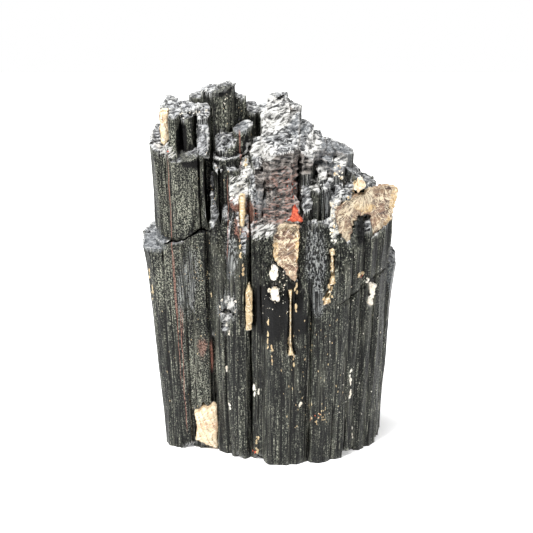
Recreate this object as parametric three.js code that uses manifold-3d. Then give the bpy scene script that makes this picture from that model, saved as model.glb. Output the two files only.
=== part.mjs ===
// A black tourmaline (schorl) hand specimen: a bundle of parallel striated prisms grown together,
// cut off flat at the foot and broken in steps at the top, with plates of mica and grains of pale
// feldspar sitting in pockets of the prisms. Units are millimetres, +Z runs up along the prisms, the
// specimen's front faces -Y and the origin is under the middle of the specimen, level with its foot.

import * as THREE from "three";
import { mergeVertices } from "three/addons/utils/BufferGeometryUtils.js";
import Module from "manifold-3d";

const wasm = await Module();
wasm.setup();

// Driving dimensions.
const FAN_X = 0.0014; // the bundle widens sideways by this share for each millimetre of height
const FAN_Y = 0.0006; // and by this share from front to back
const GAP = 0.35; // clearance between a grain and the pocket that holds it
const SIDES = 8; // faces of one prism
const SQUARENESS = 0.78; // 1 gives an oval section and smaller values a squarer one
const FACE_JITTER = 0.3; // how unevenly the faces are spread round a prism, as a share of one face
const WIDTH_JITTER = 0.05; // how far a corner strays from the section's curve
const BREAK_JITTER = 0.45; // how far a corner of the broken end strays from its plane
const FLARE_STEPS = 6; // lengths that a curving prism is bent in
const FLARE_POWER = 3; // a curving prism leans more and more towards its top end
const CUT_REACH = 40; // how far a cutter runs out past the surface it opens
const SAME_PLACE = 1e-4; // vertices closer than this are one
const SHARPEST_MITRE = 0.5; // keeps the corners of a widened outline from running far out

// ---- Solids ----------------------------------------------------------------------------------

function solidOf(geometry) {
  const bare = geometry.index ? geometry.toNonIndexed() : geometry.clone();
  bare.deleteAttribute("normal");
  bare.deleteAttribute("uv");
  const merged = mergeVertices(bare, SAME_PLACE);
  return new wasm.Manifold(
    new wasm.Mesh({
      numProp: 3,
      vertProperties: merged.attributes.position.array,
      triVerts: new Uint32Array(merged.index.array),
    }),
  );
}

function geometryOf(solid) {
  const mesh = solid.getMesh();
  const places = new Float32Array(mesh.numVert * 3);
  for (let i = 0; i < mesh.numVert; i++) {
    places.set(mesh.vertProperties.subarray(i * mesh.numProp, i * mesh.numProp + 3), i * 3);
  }
  const geometry = new THREE.BufferGeometry();
  geometry.setAttribute("position", new THREE.BufferAttribute(places, 3));
  geometry.setIndex(new THREE.BufferAttribute(new Uint32Array(mesh.triVerts), 1));
  geometry.computeVertexNormals();
  return geometry;
}

// Moves every vertex of a geometry by a function of its place.
function reshaped(geometry, move) {
  const places = geometry.attributes.position;
  const at = new THREE.Vector3();
  for (let i = 0; i < places.count; i++) {
    at.fromBufferAttribute(places, i);
    move(at);
    places.setXYZ(i, at.x, at.y, at.z);
  }
  return geometry;
}

// Repeatable scatter from -1 to 1.
const scatter = (n) => 2 * ((Math.abs(Math.sin(n * 12.9898 + 4.1)) * 43758.5453) % 1) - 1;

// The bundle opens like a sheaf, so a place in the straight bundle moves outwards with height.
function fanned(at) {
  at.x *= 1 + FAN_X * at.z;
  at.y *= 1 + FAN_Y * at.z;
}

// ---- Prisms ----------------------------------------------------------------------------------

// One prism: its middle x, the y of its front face, its width and depth, the height of its front
// rim, and how steeply the broken end climbs to the right (slopeX) and to the back (slopeY). flare
// is how far its top end curves sideways.
const prism = (x, front, width, depth, rim, slopeX = 0, slopeY = 0, flare = 0) => ({
  x, front, width, depth, rim, slopeX, slopeY, flare,
});

// A section with flat faces of uneven width, as grown prisms have.
function section(p, seed) {
  const outline = new THREE.Shape();
  for (let i = 0; i < SIDES; i++) {
    const angle = ((i + 0.5 + FACE_JITTER * scatter(seed + i * 7)) / SIDES) * 2 * Math.PI;
    const reach = 1 + WIDTH_JITTER * scatter(seed + i * 11);
    const along = Math.sign(Math.cos(angle)) * Math.abs(Math.cos(angle)) ** SQUARENESS;
    const across = Math.sign(Math.sin(angle)) * Math.abs(Math.sin(angle)) ** SQUARENESS;
    const x = (p.width / 2) * reach * along;
    const y = (p.depth / 2) * reach * across;
    if (i === 0) outline.moveTo(x, y);
    else outline.lineTo(x, y);
  }
  outline.closePath();
  return outline;
}

function crystal(p, index) {
  const seed = index * 31;
  const half = p.depth / 2;
  const steps = p.flare === 0 ? 1 : FLARE_STEPS;
  const settings = { depth: 1, steps, bevelEnabled: false };
  const geometry = new THREE.ExtrudeGeometry(section(p, seed), settings);
  reshaped(geometry, (at) => {
    const stray = BREAK_JITTER * scatter(seed + Math.round(at.x * 10) + 3 * Math.round(at.y * 10));
    const end = p.rim + p.slopeX * at.x + p.slopeY * (at.y + half) + stray;
    at.set(p.x + at.x + p.flare * at.z ** FLARE_POWER, p.front + half + at.y, end * at.z);
    fanned(at);
  });
  return solidOf(geometry);
}

// Left edge: a stub that ends in a ledge three fifths of the way up.
const leftLedge = [
  prism(-27.1, -9, 7.8, 14, 61.8, 0.06, 0.16, -2.5),
  prism(-27.4, -3.4, 7.2, 13, 62.6, 0.1, 0.14, -2.4),
  prism(-25.8, 2.5, 8.6, 14, 61.5, 0.1, -0.3, -1.5),
];

// Left tower: narrow prisms side by side. Its foot runs down to the base under a cross crack.
const leftTower = [
  prism(-25.2, -9.8, 9.4, 12, 64.4, 0.1, 0.1),
  prism(-19.0, -9.9, 8.4, 12, 67.0, 0.1, 0.1),
  prism(-26.9, -6.4, 5.4, 12, 89.9, -0.1, 0.35),
  prism(-24.5, -3.2, 4.8, 12, 100.2, 0.1, 0.12),
  prism(-23.9, -8.3, 4.6, 13, 99.6, -0.1, 0.2),
  prism(-20.4, -5.7, 4.6, 10, 99.0, 0, 0.2),
  prism(-20.3, -3.4, 6.4, 10, 100.4, 0, 0.04),
  prism(-16.4, -8.0, 3.2, 4, 88.6, 0.25, 2.7),
  prism(-16.2, -5.0, 3.4, 7, 98.4, 0.2, 0.4),
];

// Tallest piece, set back behind the others, with small stubs at its shoulders.
const tallTower = [
  prism(-12.9, -0.4, 7.4, 11, 104.9, 0.33, 0.0),
  prism(-10.6, 2.2, 4.4, 8, 105.9, 0.2, -0.1),
  prism(-17.5, 4.6, 4.4, 8, 102.2, 0.2, 0),
  prism(-7.9, 5.0, 3.8, 8, 102.0, -0.35, 0),
  prism(-4.8, 6.8, 4.8, 8, 97.4, -0.1, 0.1),
  prism(-1.5, 7.2, 4.2, 8, 97.4, 0.3, 0),
];

// Steps between the tall tower and the front: each is lower and nearer than the one behind it.
const steps = [
  prism(-6.6, -3.3, 4.9, 8, 95.0, 0.16, 0.02),
  prism(-11.2, -4.6, 4.6, 5, 89.0, 0, 1.0),
  prism(-10.6, -6.8, 6.8, 9, 87.4, 0.03, 0.2),
  prism(-9.2, -8.3, 4.2, 8, 84.9, 0, 0.15),
  prism(-12.8, -7.6, 2.6, 5, 84.0, 0.1, 0.9),
  prism(-8.0, -11.2, 5.0, 4.6, 76.6, 0.3, 1.7),
  prism(-5.9, -8.6, 2.6, 4, 82.4, 0, 1.3),
];

// The broken block: one steep rough face with a sharp rim, and a rough slope behind the rim that
// climbs to a spur.
const brokenBlock = [
  prism(2.8, -14.2, 9.8, 4.4, 68.0, 0, 3.2),
  prism(2.7, -11.8, 9.8, 15, 90.1, 0.17, 0.42),
  prism(-3.2, -12.8, 3.6, 6, 76.2, 0.5, 1.7),
  prism(-3.0, -8.2, 3.0, 7, 85.2, 0.3, 1.1),
  prism(2.6, -4.2, 9.6, 12, 92.9, 0.05, 0.66),
  prism(2.3, -0.6, 5.6, 6, 95.4, 0.2, 1.3),
  prism(2.1, 4.0, 4.8, 8, 101.9, 0.35, 0),
  prism(5.6, 3.4, 4.2, 8, 99.8, -0.75, 0.1),
  prism(8.6, -2.0, 4.8, 10, 92.4, -0.2, 0.25),
];

// Right shoulder: the break steps down towards the right edge.
const rightShoulder = [
  prism(9.2, -9.7, 4.6, 12, 89.2, -0.5, 0.4),
  prism(11.6, -6.0, 5.0, 14, 90.0, -0.2, 0.14),
  prism(14.6, -4.6, 5.6, 13, 89.2, -0.2, 0.02),
  prism(18.2, -4.0, 5.4, 12, 88.8, -0.4, -0.02),
  prism(13.1, -9.7, 2.6, 8, 84.0, 0.1, 0.3),
  prism(14.4, -7.4, 3.2, 8, 87.2, -0.3, 0.3),
  prism(16.7, -8.4, 5.0, 9, 85.1, 0, 0.45),
  prism(20.9, -6.8, 5.0, 11, 83.0, -1.0, 0.05),
  prism(24.4, -5.8, 5.6, 12, 78.8, -0.5, 0.08),
  prism(28.0, -5.0, 5.4, 11, 75.0, -0.2, 0.02),
  prism(11.3, -11.6, 3.0, 6, 79.0, 0, 0.6),
  prism(9.4, -12.6, 3.2, 5, 74.0, 0.2, 2.2),
  prism(14.0, -11.6, 3.0, 7, 80.4, 0, 0.4),
  prism(16.5, -12.0, 3.4, 5, 76.2, 0.2, 1.4),
  prism(19.2, -11.4, 3.6, 6, 77.6, -0.1, 0.8),
];

// Front rows: steep broken tops that run down into long prism faces standing on the base.
const frontRows = [
  prism(-13.6, -10.2, 6.2, 7, 66.0, 0, 2.6),
  prism(-11.4, -13.3, 6.4, 5, 59.5, 0, 2.8),
  prism(-8.0, -16.6, 5.8, 6, 61, 0.2, 2.3),
  prism(-2.7, -17.2, 5.2, 5, 58.5, 0, 2.9),
  prism(2.6, -20.7, 9.2, 7, 50, 0.1, 3.1),
  prism(6.8, -20.1, 7.6, 6.6, 48, -0.1, 3.4),
  prism(9.6, -18.4, 6.0, 6.6, 55, 0.1, 2.8),
  prism(13.9, -19.2, 7.4, 7, 52, 0.1, 3.0),
  prism(17.8, -17.2, 6.4, 6, 58, 0, 2.6),
  prism(20.8, -14.9, 6.0, 6, 63.5, 0, 1.9),
  prism(24.6, -11.4, 6.2, 7, 68.0, 0, 0.9),
  prism(27.9, -8.9, 7.2, 10, 69.0, -0.1, 0.5),
  prism(30.1, -5.0, 5.2, 13, 56.8, -0.9, 0.1, 1.5),
  prism(29.6, 1.0, 6.2, 13, 56.4, -0.8, -0.2, 1.3),
];

// Wide prisms inside the bundle close the gaps between the rows.
const middle = [
  prism(-16, -7, 26, 20, 62, 0, 0.1),
  prism(-6, -11, 18, 26, 66, 0, 0.4),
  prism(6, -15, 20, 32, 64, 0, 0.5),
  prism(16, -12.5, 18, 28, 66, 0, 0.3),
  prism(24, -7, 12, 22, 60),
];

// Thin broken plates that stand on the prisms' fronts.
const plates = [
  prism(-21.4, -9.2, 8.2, 6, 87.6, 0.1, 0.5), // the left tower's broad lower face
  prism(-9.4, -4.9, 3.0, 6, 90.6, 0.5, 0.4),
];

// Behind the front rows the bundle is closed by rows of prisms whose tops fall away to the back.
const BACK_ROWS = [5, 10.5, 15.5];
const BACK_SPACING = 4.6;
const BACK_HALF_WIDTH = 26.2;
const BACK_ROW_STEP = 3.2; // each row reaches this much less far to the sides
const BACK_ROW_FALL = 9.5; // and ends this much lower
const BACK_BEND = 0.05; // each row's ends stand this much further forward, per mm from the middle
const BACK_WIDTH = 7.4;
const BACK_DEPTH = 9.5;
const BACK_SLOPE = -0.55;

// How far one back prism may differ from the next.
const BACK_STRAY = { x: 1, width: 2.4, rim: 6.5, slopeX: 0.35, slopeY: 0.4, front: 0.9 };
const BACK_SEED = 17;

// The height of the specimen's top, from the left tower to the right shoulder.
function skyline(x) {
  if (x < -21) return 88;
  if (x < 3) return 91;
  return 91 - 0.75 * (x - 3);
}

function backPrism(x, front, row, seed) {
  const stray = (what, n) => BACK_STRAY[what] * scatter(seed + n);
  return prism(
    x + stray("x", 0),
    front + stray("front", 5) - BACK_BEND * Math.abs(x) * row,
    BACK_WIDTH + stray("width", 1),
    BACK_DEPTH,
    skyline(x) - BACK_ROW_FALL * row + stray("rim", 2),
    stray("slopeX", 3),
    BACK_SLOPE + stray("slopeY", 4),
  );
}

function backRows() {
  const found = [];
  BACK_ROWS.forEach((front, row) => {
    const reach = BACK_HALF_WIDTH - BACK_ROW_STEP * row;
    for (let x = -reach; x <= reach; x += BACK_SPACING) {
      found.push(backPrism(x, front, row, BACK_SEED * (found.length + 1)));
    }
  });
  return found;
}

// ---- Cutters ---------------------------------------------------------------------------------

// An outline of [x, z] points standing on edge, its front at y and its thickness running back.
function upright(outline, y, thickness) {
  const shape = new THREE.Shape(outline.map(([x, z]) => new THREE.Vector2(x, z)));
  const geometry = new THREE.ExtrudeGeometry(shape, { depth: thickness, bevelEnabled: false });
  geometry.rotateX(Math.PI / 2);
  geometry.translate(0, y + thickness, 0);
  return geometry;
}

// A closed ribbon round a path of [x, z, half width] points.
function ribbon(path) {
  const over = path.map(([x, z, half]) => [x, z + half]);
  const under = path.map(([x, z, half]) => [x, z - half]).reverse();
  return under.concat(over);
}

// A slot that follows the bundle's fan: x and width in the straight bundle, cut from the front
// back to floorY.
function slotCutter(x, low, high, width, floorY) {
  const outline = [
    [x - width / 2, low],
    [x, low - 2 * width],
    [x + width / 2, low],
    [x + width / 2, high],
    [x - width / 2, high],
  ];
  const geometry = upright(outline, -CUT_REACH, CUT_REACH + floorY);
  return solidOf(reshaped(geometry, (at) => (at.x *= 1 + FAN_X * at.z)));
}

const crackCutter = (path, floorY) =>
  solidOf(upright(ribbon(path), -CUT_REACH, CUT_REACH + floorY));

// A chip knocked off an edge or out of a face: a small block turned on two axes.
function chipCutter(x, y, z, size, turnX, turnZ) {
  const geometry = new THREE.BoxGeometry(size, size, size);
  geometry.rotateX(turnX);
  geometry.rotateZ(turnZ);
  geometry.translate(x, y, z);
  return solidOf(geometry);
}

const slots = [
  slotCutter(-15.6, 71, 88.5, 1.4, 1.5), // beside the left tower
  slotCutter(-12.5, 71, 85.5, 0.7, -4.5), // between the steps
  slotCutter(-5.0, 4, 80, 0.9, -11.5), // long groove left of the middle
  slotCutter(-15.4, 16, 36, 0.9, -7.2), // groove over the lower left grain
];

const cracks = [
  // under the left tower
  crackCutter(
    [
      [-29.8, 63.7, 0.15],
      [-27.4, 64.2, 0.4],
      [-24.1, 64.9, 0.35],
      [-22.4, 66.2, 0.3],
      [-19.5, 67.8, 0.35],
      [-16.2, 67.5, 0.3],
    ],
    -4.5,
  ),
  // down from the right edge
  crackCutter(
    [
      [17.2, 48.3, 0.12],
      [19.8, 48.8, 0.3],
      [23.2, 50.6, 0.3],
      [25.5, 51.8, 0.3],
      [28.4, 54.0, 0.25],
      [33.0, 55.4, 0.12],
    ],
    -5,
  ),
];

const chips = [
  chipCutter(-23.8, -10.4, -1.2, 4.6, 0.7, 0.5),
  chipCutter(-3.2, -18.4, -1.4, 5, 0.6, 0.9),
  chipCutter(-9.6, -16.6, -1.6, 4.4, 0.5, 0.3),
  chipCutter(23.0, -13.6, -0.8, 5, 0.5, 0.4),
  chipCutter(31.6, -3.4, -0.6, 5, 0.7, 1.1),
  chipCutter(-31, 3, -1, 5, 0.8, 0.2),
  chipCutter(7, 24.5, -1, 6, 0.6, 0.7),
  chipCutter(-13, 22.5, -1, 6, 0.8, 0.3),
  chipCutter(-22.2, -11.4, 45.5, 3, 0.75, 0.6), // pit in the left prism face
  chipCutter(-11.6, -14.6, 45, 4, 0.6, 0.5), // rough hollow left of the groove
  chipCutter(-12.2, -13.8, 41, 3, 0.9, 0.2),
];

// ---- Grains of other minerals ----------------------------------------------------------------

const MICA = { color: 0x9c7a4e, roughness: 0.35, metalness: 0.0 };
const FELDSPAR = { color: 0xe6d6b0, roughness: 0.7, metalness: 0.0 };
const WHITE_FELDSPAR = { color: 0xe9e6da, roughness: 0.7, metalness: 0.0 };
const IRON_CLAY = { color: 0xb8452c, roughness: 0.85, metalness: 0.0 };

// Each grain is an upright slab with its own outline of [x, z] points. front is the y of its face at
// the outline's first point, recede how fast the face runs back to the right and climb how fast it
// runs back upwards.
const grains = [
  {
    name: "mica_plate_right",
    finish: MICA,
    front: -14.2,
    thickness: 3.2,
    recede: 0.5,
    climb: 0.12,
    outline: [
      [18.9, 75.8], [21.7, 77.4], [23.6, 78.5], [26.6, 78.5], [29.3, 79.5], [32.2, 79.7], [34.8, 79.0],
      [35.5, 77.3], [35.3, 74.0], [34.2, 71.0], [33.0, 69.3], [31.6, 68.2], [30.2, 67.1], [28.5, 66.4],
      [28.2, 72.5], [26.5, 73.1], [24.6, 72.6], [23.2, 71.4], [22.9, 68.9], [22.3, 66.3], [21.4, 65.6],
      [20.4, 67.4], [19.4, 69.0], [18.8, 70.6], [18.6, 72.6], [18.2, 74.4],
    ],
  },
  {
    name: "mica_plate_centre",
    finish: MICA,
    front: -15.9,
    thickness: 3,
    recede: 0,
    climb: 0.34,
    outline: [
      [2.6, 71.0], [5.1, 71.3], [8.1, 70.6], [7.9, 65.0], [7.4, 62.4], [7.3, 59.3], [7.0, 56.6],
      [6.2, 57.4], [5.1, 58.9], [2.8, 61.1], [1.4, 62.3], [1.1, 64.4], [1.3, 68.0], [2.1, 69.6],
    ],
  },
  {
    name: "feldspar_lower_left",
    finish: FELDSPAR,
    front: -11.2,
    thickness: 4,
    recede: 0,
    climb: 0,
    outline: [
      [-21.9, 11.8], [-20.4, 12.6], [-19.3, 14.4], [-18.0, 13.0], [-16.8, 14.5], [-15.4, 14.1],
      [-15.5, 0.6], [-17.4, 1.2], [-19.2, 2.2], [-21.7, 3.2], [-21.2, 8.0],
    ],
  },
  {
    name: "feldspar_top_left",
    finish: FELDSPAR,
    front: -6.4,
    thickness: 3,
    recede: 0,
    climb: 0,
    outline: [[-30.3, 100.8], [-28.0, 101.4], [-28.1, 93.2], [-29.1, 91.4], [-30.0, 92.6]],
  },
  {
    name: "feldspar_rod",
    finish: FELDSPAR,
    front: -17.8,
    thickness: 2.6,
    recede: 0,
    climb: 0.08,
    outline: [[-6.7, 52.4], [-5.8, 54.8], [-4.9, 52.4], [-5.0, 41.4], [-6.6, 41.4]],
  },
  {
    name: "feldspar_strip",
    finish: FELDSPAR,
    front: -12.9,
    thickness: 2.2,
    recede: 0,
    climb: 0.2,
    outline: [[-8.3, 78.9], [-6.8, 78.7], [-6.9, 73.8], [-7.4, 70.6], [-8.3, 71.2]],
  },
  {
    name: "feldspar_knob",
    finish: FELDSPAR,
    front: -10.7,
    thickness: 3,
    recede: 0.3,
    climb: 0,
    outline: [[23.6, 79.9], [23.9, 81.3], [25.0, 82.2], [26.1, 81.4], [26.4, 80.0], [25.2, 79.4]],
  },
  {
    name: "feldspar_grain_right",
    finish: WHITE_FELDSPAR,
    front: -11.4,
    thickness: 2.4,
    recede: 0.25,
    climb: 0,
    outline: [[28.0, 52.8], [29.4, 52.6], [29.9, 50.0], [29.3, 47.4], [28.4, 45.8], [27.5, 47.0]],
  },
  {
    name: "feldspar_grain_upper",
    finish: WHITE_FELDSPAR,
    front: -20.4,
    thickness: 2.4,
    recede: 0,
    climb: 0.2,
    outline: [
      [0.2, 60.0], [0.6, 61.1], [1.5, 60.8], [2.4, 59.6], [2.2, 58.4], [1.2, 57.8], [0.2, 58.7],
    ],
  },
  {
    name: "feldspar_grain_lower",
    finish: WHITE_FELDSPAR,
    front: -22.1,
    thickness: 2.4,
    recede: 0,
    climb: 0.15,
    outline: [[0.5, 54.8], [2.0, 55.1], [2.8, 53.6], [2.3, 51.8], [1.2, 52.4]],
  },
  {
    name: "feldspar_vein_right",
    finish: FELDSPAR,
    front: -17.8,
    thickness: 2.2,
    recede: 0.1,
    climb: 0.16,
    outline: [
      [16.7, 64.5], [17.5, 64.3], [18.1, 58.0], [18.1, 55.6], [17.0, 52.8], [16.2, 49.6], [15.0, 48.8],
      [15.2, 51.4], [16.5, 54.4], [17.0, 58.3],
    ],
  },
  {
    name: "feldspar_needle",
    finish: FELDSPAR,
    front: -21.4,
    thickness: 1.8,
    recede: 0,
    climb: 0.04,
    outline: [
      [5.0, 54.2], [6.3, 54.2], [6.1, 51.6], [6.1, 38.0], [6.8, 34.8], [5.1, 34.8], [5.4, 38.0],
      [5.4, 51.6],
    ],
  },
  {
    name: "iron_clay_patch",
    finish: IRON_CLAY,
    front: -13.2,
    thickness: 2.4,
    recede: 0,
    climb: 0.26,
    outline: [[7.0, 76.4], [7.7, 74.0], [8.9, 72.1], [5.0, 72.2], [6.1, 73.6], [6.6, 74.8]],
  },
];

// The outline moved outwards by a distance, each corner along the middle of its edges' normals.
function grown(outline, distance) {
  const area = THREE.ShapeUtils.area(outline.map(([x, z]) => ({ x, y: z })));
  const outward = Math.sign(area);
  return outline.map(([x, z], i) => {
    const before = outline[(i + outline.length - 1) % outline.length];
    const after = outline[(i + 1) % outline.length];
    const first = new THREE.Vector2(z - before[1], before[0] - x).normalize();
    const second = new THREE.Vector2(after[1] - z, x - after[0]).normalize();
    const middleWay = first.clone().add(second).normalize();
    const reach = (outward * distance) / Math.max(SHARPEST_MITRE, middleWay.dot(first));
    return [x + middleWay.x * reach, z + middleWay.y * reach];
  });
}

// Lays an upright slab back along the surface that holds it.
function laidBack(grain, geometry) {
  const [x, z] = grain.outline[0];
  return reshaped(geometry, (at) => {
    at.y += grain.recede * (at.x - x) + grain.climb * (at.z - z);
  });
}

const grainGeometry = (grain) =>
  laidBack(grain, upright(grain.outline, grain.front, grain.thickness));

function pocketCutter(grain) {
  const depth = CUT_REACH + grain.thickness + GAP;
  return solidOf(laidBack(grain, upright(grown(grain.outline, GAP), grain.front - CUT_REACH, depth)));
}

// ---- Assembly --------------------------------------------------------------------------------

function largest(solid) {
  return solid.decompose().reduce((best, next) => (next.volume() > best.volume() ? next : best));
}

function tourmaline() {
  const prisms = [
    ...leftLedge,
    ...leftTower,
    ...tallTower,
    ...steps,
    ...brokenBlock,
    ...rightShoulder,
    ...frontRows,
    ...middle,
    ...backRows(),
    ...plates,
  ];
  const bundle = prisms.map(crystal).reduce((whole, next) => whole.add(next));
  const cutters = [...slots, ...cracks, ...chips, ...grains.map(pocketCutter)];
  return largest(cutters.reduce((rest, cutter) => rest.subtract(cutter), bundle));
}

function named(name, geometry, finish) {
  const mesh = new THREE.Mesh(geometry, new THREE.MeshStandardMaterial(finish));
  mesh.name = name;
  return mesh;
}

const SCHORL = { color: 0x23241f, roughness: 0.4, metalness: 0.0 };

const specimen = new THREE.Group();
specimen.add(named("tourmaline_bundle", geometryOf(tourmaline()), SCHORL));
grains.forEach((grain) => specimen.add(named(grain.name, grainGeometry(grain), grain.finish)));

// Stand the middle of the whole specimen over the origin.
const middleOfAll = new THREE.Box3().setFromObject(specimen).getCenter(new THREE.Vector3());
specimen.position.set(-middleOfAll.x, -middleOfAll.y, 0);

export default specimen;
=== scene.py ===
"""Looks of a black tourmaline specimen: ridged prisms, sparkling breaks, mica and feldspar grains."""

import math
import random

import bmesh
import bpy
import numpy as np
from mathutils import Matrix, Vector, noise
from mathutils.bvhtree import BVHTree


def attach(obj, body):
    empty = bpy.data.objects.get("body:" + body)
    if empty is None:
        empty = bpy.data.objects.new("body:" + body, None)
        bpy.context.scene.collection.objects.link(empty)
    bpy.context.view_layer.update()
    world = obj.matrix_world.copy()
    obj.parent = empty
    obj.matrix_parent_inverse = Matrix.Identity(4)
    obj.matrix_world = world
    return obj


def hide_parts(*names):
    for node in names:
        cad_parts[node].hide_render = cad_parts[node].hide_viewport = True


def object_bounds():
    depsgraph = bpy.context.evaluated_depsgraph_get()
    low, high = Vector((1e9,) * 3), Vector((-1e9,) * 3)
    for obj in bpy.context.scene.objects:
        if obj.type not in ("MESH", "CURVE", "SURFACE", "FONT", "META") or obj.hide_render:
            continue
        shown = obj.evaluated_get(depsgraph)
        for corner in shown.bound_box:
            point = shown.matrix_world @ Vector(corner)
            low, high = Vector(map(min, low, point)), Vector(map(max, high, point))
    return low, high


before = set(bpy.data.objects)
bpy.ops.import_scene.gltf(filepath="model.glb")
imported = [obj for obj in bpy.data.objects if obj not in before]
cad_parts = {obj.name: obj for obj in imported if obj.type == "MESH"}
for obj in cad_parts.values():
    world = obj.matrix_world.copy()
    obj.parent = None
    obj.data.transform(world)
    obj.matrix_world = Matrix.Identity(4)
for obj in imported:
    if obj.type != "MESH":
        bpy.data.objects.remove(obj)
cad_low, cad_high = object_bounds()

noise.seed_set(1)  # noise_vector goes by the clock without a seed, and each run would differ

MM = 0.001
SAME_PLACE = 0.0005 * MM  # points nearer than this are one
FLATNESS = math.radians(0.6)  # faces that differ by less are one flat face
PRISM_EDGE = math.radians(30)  # sharper edges than this are shaded as edges
GRAIN_EDGE = math.radians(38)
ON_FLOOR = 0.02  # mm, points lower than this stand on the floor
LOWEST = 0.05  # mm, how near the floor a grain or crumb may come

# How the bundle fans out, as in the CAD model: sideways and fore-and-aft share per mm of height.
FAN_X = 0.0014
FAN_Y = 0.0006
FAN_MIDDLE = (-0.2, -1.5)  # mm, where the fan's axis stands in the frame

# How finely the prisms' mesh is sliced, mm: across the ridges, along them, and over broken faces.
RIDGE_PITCH = 0.38
BACK_RIDGE_PITCH = 0.5
RIDGE_LENGTH = 3.0
BREAK_PITCH = 0.55
BREAK_RISE = 1.0
TORN_PITCH = 0.6

# How far a face's normal may rise before the face counts as broken rather than grown.
STEEPEST_PRISM_FACE = 0.17
STEEPEST_APRON = 0.5  # on the steep ends of the front prisms, which are ridged too
APRON_TOP = 70.5  # mm, the height that those ends reach
STEEPEST_TEAR = 0.55  # below this a broken face in a torn place counts as torn
FOOT_TOP = 0.1  # mm, a flat face lower than this is the foot

# Kinds of face on the prisms.
FRONT, SIDE, BREAK, FOOT, TORN, BACK, CRACK = range(7)

# The two cracks across the prisms, from end to end: x and z, mm.
CRACKS = [((-30.0, 63.9), (-22.6, 66.4)), ((-22.6, 66.4), (-16.4, 67.9)), ((17.0, 48.4), (33.0, 55.6))]
CRACK_REACH = 1.1  # mm above and below a crack's middle line

# Upright faces that are torn rather than grown: low and high x, low and high z, mm.
TORN_FACES = [(-4.6, 8.4, 70, 93), (-1.5, 8.8, 93, 103), (9.0, 21.0, 83, 92)]

# Places on the front that look different, as soft ovals: middle x and z, half width and half height,
# mm, and how far the oval leans to the right per mm of height.
OVALS = {
    "red": [
        (-19.6, 32, 1.8, 2.2, 0), (-6.5, 72, 3.4, 5.5, 0.3), (-9.0, 76.5, 2.6, 2.6, 0),
        (2.0, 83, 3.2, 4.0, 0.3), (5.6, 81, 1.4, 7.5, 0.15), (6.4, 77, 1.3, 3.6, 0),
        (1.5, 74, 4.5, 3, 0),
    ],
    "pale": [
        (-9.0, 79.8, 3.0, 3.6, 0), (-6.9, 84.6, 1.4, 3.2, 0), (12.0, 91.0, 2.6, 2.4, 0),
        (2.0, 98, 6.0, 4.5, 0.6), (-0.5, 102, 3.0, 3.0, 0.3), (14.4, 84.3, 1.4, 1.0, 0),
        (12.3, 80.6, 1.6, 1.0, 0), (-11.2, 48.4, 1.5, 2.0, 0.3), (-12.4, 43.6, 0.9, 1.4, 0.3),
        (-1.6, 69.6, 4.2, 1.6, 1.2), (-28.6, 91, 2.8, 1.6, 0), (19.5, 87, 2.2, 1.4, 0),
        (18.2, 73, 1.6, 6.5, 0.1), (-2.5, 90, 4.0, 2.0, 0.4),
    ],
    "silver": [
        (12.6, 62, 3.0, 9, 0), (13.0, 50.5, 1.8, 5, 0), (-23.5, 52, 3.0, 10, 0.1), (17.5, 76, 4, 6, 0),
        (-11, 62, 2.0, 6, 0), (-12.2, 46.5, 2.8, 5.0, 0.1),
    ],
    # Black ovals mark glossy black patches. The two near x -23 and z 87 to 93, in and below the left
    # tower's recess, are painted shade.
    "black": [
        (-0.3, 47, 5.8, 9.6, -0.05), (6.4, 51, 3.4, 6.5, 0), (-24.4, 93, 1.6, 6, 0),
        (-6.4, 89, 1.6, 5, 0), (8.5, 44, 2.5, 4, 0), (11.8, 82, 1.2, 4, 0), (25.0, 69, 1.4, 4, 0),
        (-22.0, 87.4, 3.4, 2.0, 0), (-13.4, 106.2, 4.6, 2.0, 0.2),
    ],
    "dusty": [
        (-25, 82, 8, 16, 0), (-26, 52, 8, 14, 0), (-20, 24, 6, 14, 0), (-11, 96, 5, 9, 0),
    ],
    "smooth": [
        (-21.0, 30, 4.8, 40, 0), (-25, 56, 9.0, 14, 0), (-33.0, 63.5, 3.8, 3.0, 0),
        (-8.5, 95.2, 2.4, 1.2, 0), (17, 88, 6, 5.5, -0.6), (33.5, 50, 3.0, 12, 0),
        (-2.6, 79, 2.2, 5, 0), (-24, 80, 8, 18, 0), (-13, 74, 3, 12, 0),
    ],
    "blue": [
        (-33.0, 63.5, 4.0, 3.0, 0), (-8.5, 95.0, 2.6, 1.6, 0), (17, 87.5, 6, 4.5, -0.6),
        (34.8, 52, 1.4, 5, 0), (-2.8, 77, 1.6, 3.5, 0), (9.0, 96, 5, 3, 0),
    ],
}

# Thin red lines along the grain: place from side to side in the straight bundle, low and high end
# and width, mm.
VEINS = [
    (-25.3, 40, 90, 0.24), (-25.0, 20, 62, 0.16), (-24.1, 4, 46, 0.22), (-23.6, 34, 46, 0.14),
    (-16.1, 23.5, 35, 0.7), (-7.3, 84, 97, 0.45), (-10.6, 60, 84, 0.18),
]
VEIN_WANDER = 1.6  # mm, how far the lines stray from side to side
VEIN_END = 4  # mm, over which a line fades out

# How far to the back the front's ovals and torn faces show, mm.
OVALS_REACH_BACK = 8.0
OVALS_FADE = 8.0  # over which the ovals fade out
TORN_REACH_BACK = 4.0

# How many ovals of each sort are scattered over the back.
BACK_OVALS = {"silver": 4, "smooth": 5, "dusty": 6}


# ---- Camera, light and floor -------------------------------------------------------------------

AIM = Vector((-1.1, -1.5, 53.6)) * MM  # from the middle of the specimen's foot
CAMERA_HEIGHT_ANGLE = 20  # degrees above the level
CAMERA_DISTANCE = 0.42  # m
CAMERA_LENS = 97.9  # mm
CAMERA_SENSOR = 36  # mm
ROOM_LIGHT = 0.27  # strength of the soft light from all round
FLOOR_HALF_WIDTH = 0.5  # m
FLOOR_GLOW = 0.22  # keeps the floor white where the shadow falls

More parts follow.
